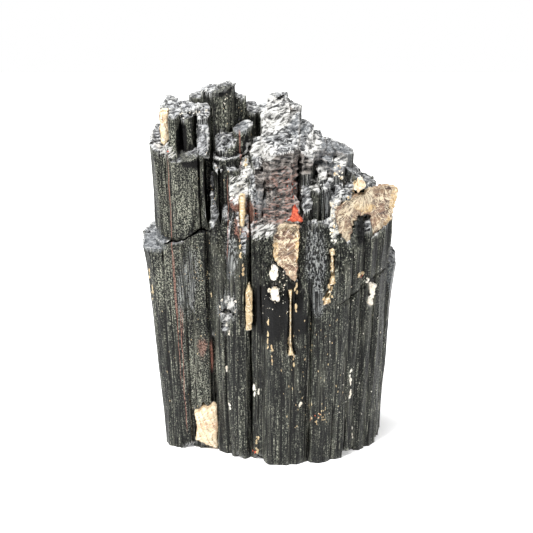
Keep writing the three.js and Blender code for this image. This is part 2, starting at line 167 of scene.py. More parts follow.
# The lamps: name, place and aim in m, size in m and power in W.
LAMPS = [
    ("overhead", (-0.1, -0.05, 0.9), (0, 0, 0), 0.6, 9.0),
    ("high_front", (-0.3, -0.3, 0.62), (0, 0, 0.06), 0.24, 5.6),
    ("back_left", (-0.45, 0.25, 0.35), (0, 0, 0.06), 0.3, 2.5),
    ("right_side", (0.5, -0.1, 0.25), (0, 0, 0.06), 0.15, 1.2),
]


def camera():
    """Stands well back from the specimen and a little above it."""
    middle = (cad_low + cad_high) / 2
    target = Vector((middle.x, middle.y, 0)) + AIM
    elevation = math.radians(CAMERA_HEIGHT_ANGLE)
    seen = bpy.data.objects.new("camera", bpy.data.cameras.new("camera"))
    seen.data.lens = CAMERA_LENS
    seen.data.sensor_width = CAMERA_SENSOR
    back = Vector((0, -math.cos(elevation), math.sin(elevation)))
    seen.location = target + back * CAMERA_DISTANCE
    seen.rotation_euler = (-back).to_track_quat("-Z", "Y").to_euler()
    seen.data.clip_start = 0.01
    bpy.context.scene.collection.objects.link(seen)
    bpy.context.scene.camera = seen


def area_light(name, place, aim, size, power):
    lamp = bpy.data.objects.new(name, bpy.data.lights.new(name, "AREA"))
    lamp.data.size = size
    lamp.data.energy = power
    lamp.location = place
    lamp.rotation_euler = (Vector(aim) - Vector(place)).to_track_quat("-Z", "Y").to_euler()
    bpy.context.scene.collection.objects.link(lamp)


def studio():
    """Soft light from all round, lamps, and a plain white backdrop."""
    scene = bpy.context.scene
    scene.view_settings.view_transform = "Standard"
    world = bpy.data.worlds.new("studio")
    world.use_nodes = True
    nodes = world.node_tree.nodes
    nodes["Background"].inputs["Color"].default_value = (1, 1, 1, 1)
    path = nodes.new("ShaderNodeLightPath")
    level = nodes.new("ShaderNodeMapRange")
    level.inputs["To Min"].default_value = ROOM_LIGHT
    level.inputs["To Max"].default_value = 1.0  # the plain backdrop as it is seen
    world.node_tree.links.new(path.outputs["Is Camera Ray"], level.inputs["Value"])
    world.node_tree.links.new(level.outputs["Result"], nodes["Background"].inputs["Strength"])
    scene.world = world
    for lamp in LAMPS:
        area_light(*lamp)


def floor():
    """A plain white floor under the specimen."""
    bm = bmesh.new()
    bmesh.ops.create_grid(bm, x_segments=1, y_segments=1, size=FLOOR_HALF_WIDTH)
    mesh = bpy.data.meshes.new("floor")
    bm.to_mesh(mesh)
    bm.free()
    ground = bpy.data.objects.new("floor", mesh)
    bpy.context.scene.collection.objects.link(ground)
    paint = bpy.data.materials.new("pale_floor")
    paint.use_nodes = True
    shader = paint.node_tree.nodes["Principled BSDF"]
    shader.inputs["Base Color"].default_value = (0.97, 0.97, 0.97, 1)
    shader.inputs["Roughness"].default_value = 0.9
    shader.inputs["Emission Color"].default_value = (1, 1, 1, 1)
    shader.inputs["Emission Strength"].default_value = FLOOR_GLOW
    ground.data.materials.append(paint)


# ---- Mesh helpers ------------------------------------------------------------------------------

def cad_copy(node):
    """A merged copy of a CAD node's mesh, with its flat faces made whole again."""
    bm = bmesh.new()
    bm.from_mesh(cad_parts[node].data)
    bmesh.ops.remove_doubles(bm, verts=bm.verts, dist=SAME_PLACE)
    bmesh.ops.dissolve_limit(bm, angle_limit=FLATNESS, verts=bm.verts, edges=bm.edges)
    bm.normal_update()
    return bm


def sliced(bm, faces, axis, pitch):
    """Cuts the given faces by evenly spaced planes across one axis."""
    if not faces:
        return
    edges = dict.fromkeys(e for f in faces for e in f.edges)
    verts = dict.fromkeys(v for f in faces for v in f.verts)
    low = min(v.co[axis] for v in verts)
    high = max(v.co[axis] for v in verts)
    normal = Vector((0, 0, 0))
    normal[axis] = 1
    geometry = list(faces) + list(edges) + list(verts)
    for i in range(1, math.ceil((high - low) / pitch)):
        place = normal * (low + i * pitch)
        geometry = bmesh.ops.bisect_plane(
            bm, geom=geometry, dist=SAME_PLACE, plane_co=place, plane_no=normal
        )["geom"]


def piece_of(name, bm, material, slot, *nodes):
    """Makes a piece of a finished mesh, in place of the given CAD nodes."""
    bmesh.ops.triangulate(bm, faces=bm.faces)
    bm.normal_update()
    mesh = bpy.data.meshes.new(name)
    bm.to_mesh(mesh)
    bm.free()
    piece = bpy.data.objects.new(name, mesh)
    bpy.context.scene.collection.objects.link(piece)
    mesh.materials.append(material)
    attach(piece, "root")
    if nodes:
        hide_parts(*nodes)
    return piece


def vectors(items, name):
    """One vector of each item, such as its place, as rows of numbers."""
    flat = np.empty(len(items) * 3, np.float32)
    items.foreach_get(name, flat)
    return flat.reshape(-1, 3).astype(float)


def moved(mesh, places):
    """Puts the mesh's points at the given places."""
    mesh.vertices.foreach_set("co", places.astype(np.float32).ravel())
    mesh.update()


def point_attribute(mesh, name, values):
    """Writes one number, or one vector, for each point."""
    values = np.asarray(values, np.float32)
    if values.ndim == 2:
        layer = mesh.attributes.new(name, "FLOAT_VECTOR", "POINT")
        layer.data.foreach_set("vector", values.ravel())
    else:
        layer = mesh.attributes.new(name, "FLOAT", "POINT")
        layer.data.foreach_set("value", values)


# The materials use this to paint highlights on crests and shade in creases.
def crispness(mesh):
    """How convex the surface is at each point: above 0 on crests, below 0 in creases."""
    places = vectors(mesh.vertices, "co")
    normals = vectors(mesh.vertices, "normal")
    ends = np.empty(len(mesh.edges) * 2, np.int32)
    mesh.edges.foreach_get("vertices", ends)
    ends = ends.reshape(-1, 2)
    span = places[ends[:, 1]] - places[ends[:, 0]]
    length = np.linalg.norm(span, axis=1) + 0.02 * MM
    total = np.zeros(len(places))
    weight = np.zeros(len(places))
    for here, sign in ((0, 1.0), (1, -1.0)):
        rise = np.einsum("ij,ij->i", span * sign, normals[ends[:, here]]) / length
        np.add.at(total, ends[:, here], -rise / length)
        np.add.at(weight, ends[:, here], 1 / length)
    return total / weight


def shares(bm, wanted):
    """For each vertex, the share of its faces that are of the wanted kinds."""
    kind = bm.faces.layers.int["kind"]
    return np.array([
        sum(f[kind] in wanted for f in v.link_faces) / max(1, len(v.link_faces)) for v in bm.verts
    ])


# ---- Patterns ----------------------------------------------------------------------------------

def straightened(places):
    """Where each place was, in mm, before the bundle fanned out."""
    mm = places / MM
    out = mm.copy()
    out[:, 0] = (mm[:, 0] - FAN_MIDDLE[0]) / (1 + FAN_X * mm[:, 2])
    out[:, 1] = (mm[:, 1] - FAN_MIDDLE[1]) / (1 + FAN_Y * mm[:, 2])
    return out


def ridges(p, calm):
    """Height in mm of the lengthwise ridges at a straightened place."""
    broad = abs(noise.noise((p[0] / 3.4, p[1] / 3.4, p[2] / 70)))
    middle = abs(noise.noise((p[0] / 1.5 + 9, p[1] / 1.5, p[2] / 45)))
    fine = abs(noise.noise((p[0] / 0.75 + 5, p[1] / 0.75, p[2] / 22)))
    uneven = 0.6 + noise.noise((p[0] / 7, p[1] / 7, p[2] / 16 + 40))
    wave = noise.noise((p[0] / 9, p[1] / 9, p[2] / 30 + 3))
    lines = 1.0 * broad + (0.85 * middle + 0.6 * fine) * uneven
    return lines * (1 - 0.8 * calm) + 0.35 * wave - 0.2


def chip(p, size, lean):
    """Height of flat chips, each tilted its own way, as a share of their size."""
    stretched = Vector((p[0] / size + 0.35 * p[2] / size, p[1] / size, p[2] / (size * lean)))
    middle = noise.voronoi(stretched, distance_metric="DISTANCE")[1][0]
    tilt = noise.cell_vector(middle * 37.0) - Vector((0.5, 0.5, 0.5))
    return (stretched - middle).dot(tilt)


def fold(along, across, deep, size, stretch, seed):
    """A sharp-crested fold: 1 on the crest line, falling to both sides."""
    return 1 - 2.6 * abs(noise.noise((along / (size * stretch), across / size, deep / size + seed)))


def flow_of(p):
    """A straightened place seen along and across the grain of a break, which climbs to the right."""
    climb = 0.94 * p[2] + 0.34 * p[1]
    return 0.8 * p[0] + 0.6 * climb, 0.8 * climb - 0.6 * p[0]


def hackle(p, calm):
    """Height in mm of a rough break: folds that climb to the right, chips and grit."""
    p = Vector(p) + 0.4 * noise.noise_vector(Vector(p) / 2.2)
    along, across = flow_of(p)
    big = fold(along, across, p[1], 4.6, 1.8, 3)
    middle = fold(along, across, p[1], 2.1, 1.7, 17)
    small = fold(along, across, p[1], 1.1, 1.5, 31)
    grit = noise.noise((p[0] / 0.7 + 7, p[1] / 0.7, p[2] / 0.7))
    rough = 0.8 * big + 0.5 * middle + 0.22 * small + 0.95 * chip(p, 2.6, 0.8) + 0.12 * grit
    return rough * (1 - 0.55 * calm) - 0.35


def wrinkle(p):
    """Height in mm of a torn upright face: wrinkles that run across it."""
    level = p[2] - 0.3 * p[0]
    bent = level + 1.2 * noise.noise((p[0] / 3, 5, level / 3))
    big = fold(p[0], bent, 0, 2.4, 2.6, 5)
    small = fold(p[0], bent, 0, 1.1, 2.0, 11)
    upright = noise.noise((p[0] / 1.3, 3, p[2] / 14))
    return 0.45 * big + 0.34 * small + 0.45 * upright + 0.3 * chip(p, 2.2, 0.6) - 0.3


def in_ovals(mm, ovals):
    """How far inside any of the ovals each place is: 1 near the middle, 0 just outside the rim."""
    inside = np.zeros(len(mm))
    for x, z, half_width, half_height, lean in ovals:
        across = (mm[:, 0] - x - lean * (mm[:, 2] - z)) / half_width
        along = (mm[:, 2] - z) / half_height
        inside = np.maximum(inside, np.clip(1.4 - across ** 2 - along ** 2, 0, 1))
    return inside


def patches(mm):
    """The soft masks of all patches, on the front from the table and on the back at random."""
    draw = random.Random(5)
    ahead = np.clip((OVALS_REACH_BACK - mm[:, 1]) / OVALS_FADE, 0, 1)
    found = {}
    for what, ovals in OVALS.items():
        behind = [
            (draw.uniform(-30, 30), draw.uniform(5, 95), draw.uniform(1, 4), draw.uniform(3, 14), 0)
            for _ in range(BACK_OVALS.get(what, 0))
        ]
        found[what] = in_ovals(mm, ovals) * ahead + in_ovals(mm, behind) * (1 - ahead)
    return found


# ---- Prisms ------------------------------------------------------------------------------------

def relief(mesh, broken, torn, cracked):
    """Raises the ridges on the prism faces, roughens the breaks and leaves the cracks' walls alone."""
    places = vectors(mesh.vertices, "co")
    straight = straightened(places)
    patch = patches(places / MM)
    calm = patch["smooth"]
    normals = vectors(mesh.vertices, "normal")
    foot = places[:, 2] < ON_FLOOR * MM
    normals[foot, 2] = 0
    height = np.empty(len(places))
    for i, p in enumerate(straight):
        grown = ridges(p, calm[i]) if broken[i] < 1 else 0
        rough = hackle(p, calm[i]) if broken[i] > torn[i] else 0
        tear = wrinkle(p) if torn[i] > 0 else 0
        height[i] = (1 - broken[i]) * grown + (broken[i] - torn[i]) * rough + torn[i] * tear
    height[foot & (broken > 0.7)] = 0
    height *= 1 - cracked
    places += normals * (height * MM)[:, None]
    places[:, 2] = np.maximum(places[:, 2], 0)
    moved(mesh, places)
    point_attribute(mesh, "straight", straight)
    along, across = flow_of(straight.T)
    point_attribute(mesh, "flow", np.stack([along, across, straight[:, 1]], 1))
    point_attribute(mesh, "texture", np.stack([broken, torn, cracked], 1))
    point_attribute(mesh, "crisp", crispness(mesh))
    point_attribute(mesh, "dusty", patch["dusty"])
    point_attribute(mesh, "red_pale_silver", np.stack([patch["red"], patch["pale"], patch["silver"]], 1))
    point_attribute(mesh, "black_smooth_blue", np.stack([patch["black"], patch["smooth"], patch["blue"]], 1))


def in_crack(middle):
    """Whether a face's middle lies between the two lips of a crack."""
    for (x0, z0), (x1, z1) in CRACKS:
        share = (middle.x - x0) / (x1 - x0)
        if 0 <= share <= 1 and abs(middle.z - z0 - share * (z1 - z0)) < CRACK_REACH:
            return True
    return False


def kind_of(face):
    """What kind of prism face it is, by where it is and which way it looks."""
    n = face.normal
    middle = face.calc_center_median() / MM
    if in_crack(middle):
        return CRACK
    steepest = STEEPEST_PRISM_FACE if middle.z > APRON_TOP else STEEPEST_APRON
    if abs(n.z) > steepest:
        return FOOT if middle.z < FOOT_TOP else BREAK
    if abs(n.x) > abs(n.y):
        return SIDE
    return BACK if n.y > 0 else FRONT


def is_torn(face):
    """Whether a face lies in one of the torn places."""
    middle = face.calc_center_median() / MM
    return middle.y < TORN_REACH_BACK and any(
        x0 < middle.x < x1 and z0 < middle.z < z1 for x0, x1, z0, z1 in TORN_FACES
    )


def prisms():
    """The whole bundle: sliced finely by kind of face, then raised into ridges and breaks."""
    bm = cad_copy("tourmaline_bundle")
    kind = bm.faces.layers.int.new("kind")
    for face in bm.faces:
        face[kind] = kind_of(face)

    def of_kind(*kinds):
        return [f for f in bm.faces if f[kind] in kinds]

    sliced(bm, of_kind(FRONT, SIDE, BACK), 2, RIDGE_LENGTH * MM)
    for face in of_kind(FRONT, SIDE):
        if is_torn(face):
            face[kind] = TORN
    sliced(bm, of_kind(FRONT), 0, RIDGE_PITCH * MM)
    sliced(bm, of_kind(BACK), 0, BACK_RIDGE_PITCH * MM)
    sliced(bm, of_kind(SIDE), 1, RIDGE_PITCH * MM)
    for axis in range(3):
        sliced(bm, of_kind(BREAK), axis, (BREAK_RISE if axis == 2 else BREAK_PITCH) * MM)
        sliced(bm, of_kind(TORN), axis, TORN_PITCH * MM)
    for face in of_kind(BREAK):
        if face.normal.z < STEEPEST_TEAR and is_torn(face):
            face[kind] = TORN
    broken = shares(bm, (BREAK, FOOT, TORN))
    torn = shares(bm, (TORN,))
    cracked = shares(bm, (CRACK,))
    piece = piece_of("tourmaline_prisms", bm, schorl(), "schorl", "tourmaline_bundle")
    relief(piece.data, broken, torn, cracked)
    piece.data.set_sharp_from_angle(angle=PRISM_EDGE)
    return piece


# ---- Grains ------------------------------------------------------------------------------------

def leaves(p):
    """Terraces and creases of a split and crumpled mica book, in mm."""
    tilt = 0.16 * p[0] - 0.1 * p[2] + 1.5 * noise.noise((p[0] / 4, 2, p[2] / 3))
    tilt += 0.5 * noise.noise((p[0], 8, p[2] / 1.2))
    terrace = math.floor(tilt * 2) / 2 - tilt * 0.6
    crease = 1 - 3 * abs(noise.noise((p[0] / 2.8, 5, p[2] / 2.8)))
    return 0.55 * terrace + 0.3 * crease + 0.05 * noise.noise((p[0] / 0.8, 4, p[2] / 0.8))


def cleavage(p):
    """Blocky steps of a cleaved feldspar, in mm."""
    first = (p[0] * 0.93 + p[2] * 0.36) / 1.6 + 0.6 * noise.noise((p[0] / 3, 1, p[2] / 3))
    second = (p[2] * 0.9 - p[0] * 0.42) / 2.1 + 0.6 * noise.noise((p[0] / 3, 9, p[2] / 3))
    steps = (first % 1.0) * 0.34 + (second % 1.0) * 0.3
    return steps - 0.3 + 0.16 * noise.noise((p[0] / 0.6, 4, p[2] / 0.6))


def crumbly(p):
    """Angular crumbs pressed together, in mm."""
    near = noise.voronoi((p[0] / 0.9, p[1] / 0.9, p[2] / 0.9))
    tilt = noise.cell_vector(near[1][0] * 37.0) - Vector((0.5, 0.5, 0.5))
    grit = noise.noise((p[0] / 0.5, 4, p[2] / 0.5))
    return 0.3 - 0.5 * near[0][0] + 0.9 * tilt.x * tilt.z + 0.2 * grit


def lumpy(p):
    """A few large crumbs grown together, in mm."""
    return 1.6 * crumbly((p[0] / 1.5, p[1] / 1.5, p[2] / 1.5)) + 0.5 * crumbly(p)


def to_rim(places, rim):
    """How far, in mm and in the x-z plane, each place is from the rim, and the way there."""
    nearest = np.full(len(places), 1e9)
    way = np.zeros((len(places), 3))
    flat = places[:, [0, 2]]
    for start, end in rim:
        a = np.array((start.x, start.z))
        along = np.array((end.x, end.z)) - a
        share = np.clip((flat - a) @ along / max(1e-12, along @ along), 0, 1)
        gap = a + share[:, None] * along - flat
        distance = np.linalg.norm(gap, axis=1)
        closer = distance < nearest
        nearest[closer] = distance[closer]
        way[closer, 0] = gap[closer, 0]
        way[closer, 2] = gap[closer, 1]
    return nearest / MM, way / np.maximum(nearest, 1e-6)[:, None]


def fraying(p):
    """How far a grain's outline strays at a place, from about -1 to 1."""
    return noise.noise((p[0] / 1.9, 7, p[2] / 1.9)) + 0.8 * noise.noise((p[0] / 0.8, 7, p[2] / 0.8))


# Where the mica is creamy or golden, as soft ovals like those of the prisms.
MICA_CREAM = [
    (23.5, 76.6, 3.6, 1.5, 0.4), (25.6, 76.2, 2.6, 2.0, 0), (19.4, 71.5, 1.2, 4.5, 0.1),
    (21.0, 67.5, 1.2, 2.4, 0), (4.6, 70.6, 3.4, 0.8, 0), (4.5, 67.0, 3.6, 0.6, 0.6),
    (6.4, 57.6, 0.9, 1.6, -0.2), (3.0, 61.6, 2.2, 0.5, -0.5), (29.8, 68.6, 1.6, 1.4, 0.8),
    (31.5, 76.5, 2.4, 0.7, -1.2), (26.4, 78.2, 2.6, 1.6, 0.3), (32.0, 80.6, 3.2, 0.7, 0),
    (21.6, 74.6, 1.6, 1.6, 0.6),
]
MICA_GOLD = [
    (34.4, 75.2, 1.1, 4.2, 0.1), (24.6, 75.6, 1.6, 1.2, 0), (29.5, 80.2, 2.0, 0.6, 0),
    (27.0, 74.4, 2.4, 1.2, 0), (33.4, 70.6, 1.2, 1.8, 0.6), (7.4, 66.0, 0.7, 5.0, 0),
    (1.4, 64.5, 0.8, 3.0, 0),
]

# The place, x and z in mm, that each plate's creases fan out from.
MICA_FAN = {"mica_plate_right": (26.0, 79.5), "mica_plate_centre": (-14.0, 52.0)}


def grain(
    node, slot, material, pattern,
    pitch=0.35, swell=0.5, fray=0.5, rounding=0.5, sunk=0.0, grow=0.15,
):
    """A detailed grain for a CAD slab, with a pattern on its front and a frayed outline.

    In mm: pitch is the mesh's, swell raises the front's middle, fray strays the outline, rounding
    lowers the front's rim, sunk dips parts of the grain behind the prisms and grow widens it.
    """
    bm = cad_copy(node)
    kind = bm.faces.layers.int.new("kind")
    rim = []
    for face in bm.faces:
        face[kind] = int(face.normal.y < -0.5)
    for edge in bm.edges:
        if sum(f[kind] for f in edge.link_faces) == 1:
            rim.append((edge.verts[0].co.copy(), edge.verts[1].co.copy()))
    for axis in range(3):
        sliced(bm, list(bm.faces), axis, pitch * MM)
    ahead = shares(bm, (1,))
    piece = piece_of(node + "_detail", bm, material, slot, node)
    mesh = piece.data
    places = vectors(mesh.vertices, "co")
    normals = vectors(mesh.vertices, "normal")
    inward, outward = to_rim(places, rim)
    mm = places / MM
    shaped = np.array([pattern(p) for p in mm])
    strays = np.array([fraying(p) for p in mm])
    crown = swell * (1 - np.exp(-inward / 1.5)) - rounding * np.exp(-inward / 0.5)
    front = ahead > 0
    places[front, 1] -= (crown + shaped * np.clip(inward / 0.6, 0.25, 1))[front] * MM
    normals[:, 1] = 0
    length = np.linalg.norm(normals, axis=1)
    normals /= np.maximum(length, 1e-6)[:, None]
    side = (ahead < 1) & (length > 0.3)
    outward[side] = normals[side]
    pull = np.where(side, 1.0, np.exp(-inward / 0.7) * (ahead == 1))
    places += outward * (pull * (grow + fray * strays) * MM)[:, None]
    dips = np.array([noise.noise((3, 7, z / 1.9)) for z in mm[:, 2]])
    places[:, 1] += sunk * np.clip(4 * dips, 0, 1) * MM
    places[:, 2] = np.maximum(places[:, 2], LOWEST * MM)
    moved(mesh, places)
    point_attribute(mesh, "crisp", crispness(mesh))
    if node in MICA_FAN:
        x, z = MICA_FAN[node]
        angle = np.arctan2(mm[:, 0] - x, z - mm[:, 2])
        radius = np.hypot(mm[:, 0] - x, mm[:, 2] - z)
        arc = angle * max(8.0, 0.8 * radius.mean())
        point_attribute(mesh, "fan", np.stack([radius, arc, mm[:, 1]], 1))
        point_attribute(mesh, "cream", in_ovals(mm, MICA_CREAM))
        point_attribute(mesh, "gold", in_ovals(mm, MICA_GOLD))
    mesh.set_sharp_from_angle(angle=GRAIN_EDGE)
    return piece


def grains():
    """Makes every grain, and gives back the paints that the crumbs share."""
    mica_paint = mica()
    cream = feldspar("cream_feldspar", (0.80, 0.66, 0.44), (0.62, 0.36, 0.2))
    white = feldspar("white_feldspar", (0.80, 0.77, 0.68), (0.66, 0.55, 0.4))
    golden = feldspar("golden_feldspar", (0.60, 0.47, 0.27), (0.40, 0.26, 0.13))
    clay = iron_clay()
    mica_plate = {"slot": "mica", "material": mica_paint, "pattern": leaves, "rounding": 0.2}
    grain("mica_plate_right", **mica_plate, pitch=0.36, swell=0.6, fray=0.75)
    grain("mica_plate_centre", **mica_plate, pitch=0.30, swell=0.5, fray=0.6)
    grain("feldspar_lower_left", "feldspar", cream, cleavage, pitch=0.3, swell=0.4, fray=0.4)
    grain("feldspar_top_left", "feldspar", cream, cleavage, pitch=0.25, swell=0.2, fray=0.3)
    grain(
        "feldspar_rod", "feldspar", golden, cleavage,
        pitch=0.22, swell=0.2, fray=0.3, rounding=0.2, grow=0.0,
    )
    grain("feldspar_strip", "feldspar", golden, cleavage, pitch=0.22, swell=0.3, fray=0.3)
    grain(
        "feldspar_knob", "feldspar", cream, lumpy,
        pitch=0.25, swell=0.4, fray=1.2, rounding=0.2, grow=0.2,
    )
    grain(
        "feldspar_vein_right", "feldspar", golden, crumbly,
        pitch=0.22, swell=0.2, fray=0.6, rounding=0.5, sunk=1.6, grow=-0.05,
    )
    grain(
        "feldspar_needle", "feldspar", golden, crumbly,
        pitch=0.2, swell=0.1, fray=0.1, rounding=0.2, sunk=0.5, grow=-0.15,
    )
    for node in ("feldspar_grain_right", "feldspar_grain_upper", "feldspar_grain_lower"):
        grain(
            node, "white_feldspar", white, crumbly,
            pitch=0.22, swell=0.4, fray=0.95, rounding=0.2, grow=0.05,
        )
    grain(
        "iron_clay_patch", "iron_clay", clay, cleavage,
        pitch=0.22, swell=0.1, fray=0.35, rounding=0.2,
    )
    return white, golden, clay


# Crumbs scattered on the front: middle x and z, half width and half height of the scatter, mm, how
# many, their size in mm and how much longer than wide they are.
WHITE_CRUMBS = [
    (3.0, 56.5, 1.6, 3.0, 14, 0.24, 1.2), (-0.7, 53.6, 0.4, 0.6, 3, 0.5, 1.3),
    (1.5, 50.0, 4.0, 4.0, 24, 0.15, 1.2), (-12.0, 40.0, 0.5, 1.2, 5, 0.6, 1.4),
    (-12.3, 27.6, 0.3, 0.9, 4, 0.5, 1.6), (-4.7, 21.8, 0.2, 1.3, 4, 0.45, 2.0),
    (-3.3, 21.8, 0.2, 0.8, 3, 0.4, 2.0), (-11.7, 16.5, 0.5, 0.9, 5, 0.45, 1.3),
    (8.7, 19.2, 0.5, 0.4, 4, 0.5, 1.0), (23.0, 22.0, 0.3, 3.8, 9, 0.34, 2.6),
    (23.2, 28.2, 0.2, 1.4, 4, 0.4, 2.0), (24.0, 6.0, 0.2, 2.6, 5, 0.3, 2.5),
    (17.4, 72.0, 0.9, 5.4, 44, 0.36, 1.4), (18.6, 84.5, 1.5, 1.6, 10, 0.5, 1.2),
    (-9.2, 79.6, 2.6, 2.6, 20, 0.28, 1.2), (-7.0, 85.0, 0.5, 1.6, 6, 0.5, 1.4),
    (-12.0, 46.0, 2.4, 3.6, 16, 0.3, 1.3), (27.4, 54.0, 0.5, 1.0, 4, 0.5, 1.2),
    (-22.0, 99.8, 5.5, 1.0, 14, 0.35, 1.0), (-11.0, 103.5, 3.0, 1.6, 12, 0.16, 1.3),
    (24.0, 46.0, 8.0, 36.0, 40, 0.16, 2.0),
]
CREAM_CRUMBS = [
    (-0.7, 40.6, 0.15, 4.8, 12, 0.32, 2.6), (0.5, 35.0, 0.2, 2.8, 8, 0.34, 2.4),
    (5.5, 38.0, 0.4, 1.2, 6, 0.5, 1.3), (6.6, 33.2, 0.2, 2.0, 6, 0.36, 2.2),
    (7.1, 54.4, 0.4, 1.4, 6, 0.5, 1.6), (7.1, 48.8, 0.2, 1.4, 5, 0.3, 2.4),
    (17.4, 57.6, 0.5, 1.0, 6, 0.5, 1.4), (16.6, 52.6, 0.6, 2.6, 10, 0.45, 1.8),
    (15.0, 50.6, 0.4, 1.4, 8, 0.55, 1.6), (25.2, 56.2, 0.9, 0.6, 6, 0.55, 1.1),
    (-8.4, 66.0, 0.2, 3.4, 9, 0.3, 2.6), (-7.6, 59.0, 0.25, 1.6, 6, 0.4, 2.2),
    (-6.8, 86.8, 0.25, 1.0, 4, 0.5, 1.8), (-34.4, 53.6, 0.25, 1.6, 4, 0.35, 2.4),
    (-33.8, 47.0, 0.25, 3.6, 6, 0.3, 2.4), (-16.8, 48.8, 0.1, 0.9, 3, 0.28, 2.2),
    (-19.6, 56.0, 2.2, 3.4, 12, 0.18, 1.2), (17.2, 71.5, 0.6, 5.0, 8, 0.34, 1.4),
    (19.0, 84.3, 1.4, 1.8, 7, 0.45, 1.2), (13.6, 15.6, 2.2, 2.4, 14, 0.26, 1.5),
    (12.0, 30.0, 9.0, 18.0, 60, 0.15, 3.0), (-14.0, 60.0, 8.0, 30.0, 30, 0.14, 2.0),
    (-25.0, 40.0, 8.0, 30.0, 30, 0.15, 1.8), (-10.0, 98.0, 5.0, 5.0, 14, 0.15, 1.3),
    (-3.8, 5.0, 0.5, 2.6, 8, 0.4, 1.6), (24.4, 80.4, 1.6, 1.0, 26, 0.5, 1.1),
    (22.4, 78.4, 1.0, 0.9, 12, 0.4, 1.1),
]
RUST_CRUMBS = [
    (3.4, 82.0, 3.2, 4.6, 14, 0.16, 1.2), (6.4, 79.0, 0.6, 3.6, 10, 0.22, 1.4),
    (13.4, 15.4, 2.4, 1.8, 5, 0.2, 1.3), (-5.5, 71.0, 2.6, 3.6, 6, 0.17, 1.3),
    (-4.4, 2.4, 0.8, 0.9, 5, 0.34, 1.3), (25.6, 55.4, 0.5, 0.3, 3, 0.4, 1.0),
    (-28.4, 90.6, 0.4, 0.4, 2, 0.3, 1.0),
]

CLUSTER = 6  # crumbs in one cluster on the back
CRUMB_CORNERS = 12
RAY_START = 60  # mm before or behind the middle, well clear of the prisms


def crumbs(name, slot, material, zones, behind, seed, skin):
    """Small angular crumbs stuck to the prisms where a line from the front, or the back, meets them."""
    draw = random.Random(seed)
    bm = bmesh.new()
    wanted = [(zone, -1) for zone in zones for _ in range(zone[4])]
    for _ in range(behind // CLUSTER):
        x, z, size = draw.uniform(-30, 30), draw.uniform(8, 85), draw.uniform(0.16, 0.3)
        wanted += [((x, z, 0.8, 4.0, CLUSTER, size, 2.2), 1)] * CLUSTER
    for (x, z, half_x, half_z, _, size, longer), side in wanted:
        stray_x, stray_z = draw.uniform(-1, 1), draw.uniform(-1, 1)
        start = Vector((x + half_x * stray_x, side * RAY_START, z + half_z * stray_z)) * MM
        place, normal, _, _ = skin.ray_cast(start, Vector((0, -side, 0)))
        wide = size * draw.uniform(0.45, 1.0) * MM
        long_way = wide * longer * draw.uniform(0.7, 1.3)
        turn = draw.uniform(-0.5, 0.5)
        jolts = [
            Vector((draw.uniform(-1, 1), draw.uniform(-1, 1), draw.uniform(-1, 1)))
            for _ in range(CRUMB_CORNERS)
        ]
        if place is None:
            continue
        out = Vector((normal.x, normal.y, 0.3 * normal.z)).normalized()
        facing = out.to_track_quat("Y", "Z").to_matrix().to_4x4()
        size_of = Matrix.Diagonal((wide, 0.55 * wide, long_way, 1))
        whole = Matrix.Translation(place) @ facing @ Matrix.Rotation(turn / longer, 4, "Y") @ size_of
        made = bmesh.ops.create_icosphere(bm, subdivisions=1, radius=1, matrix=whole)["verts"]
        for vert, jolt in zip(made, jolts):
            vert.co += jolt * 0.3 * wide
            vert.co.z = max(vert.co.z, LOWEST * MM)
    return piece_of(name, bm, material, slot)


def all_crumbs(tourmaline, paints):
    """Scatters the crumbs of every mineral over the finished prisms."""
    white, golden, clay = paints
    bm = bmesh.new()
    bm.from_mesh(tourmaline.data)
    skin = BVHTree.FromBMesh(bm)
    bm.free()
    crumbs("white_crumbs", "white_feldspar", white, WHITE_CRUMBS, behind=36, seed=11, skin=skin)
    crumbs("cream_crumbs", "feldspar", golden, CREAM_CRUMBS, behind=48, seed=12, skin=skin)
    crumbs("rust_crumbs", "iron_clay", clay, RUST_CRUMBS, behind=6, seed=13, skin=skin)


# ---- Materials ---------------------------------------------------------------------------------

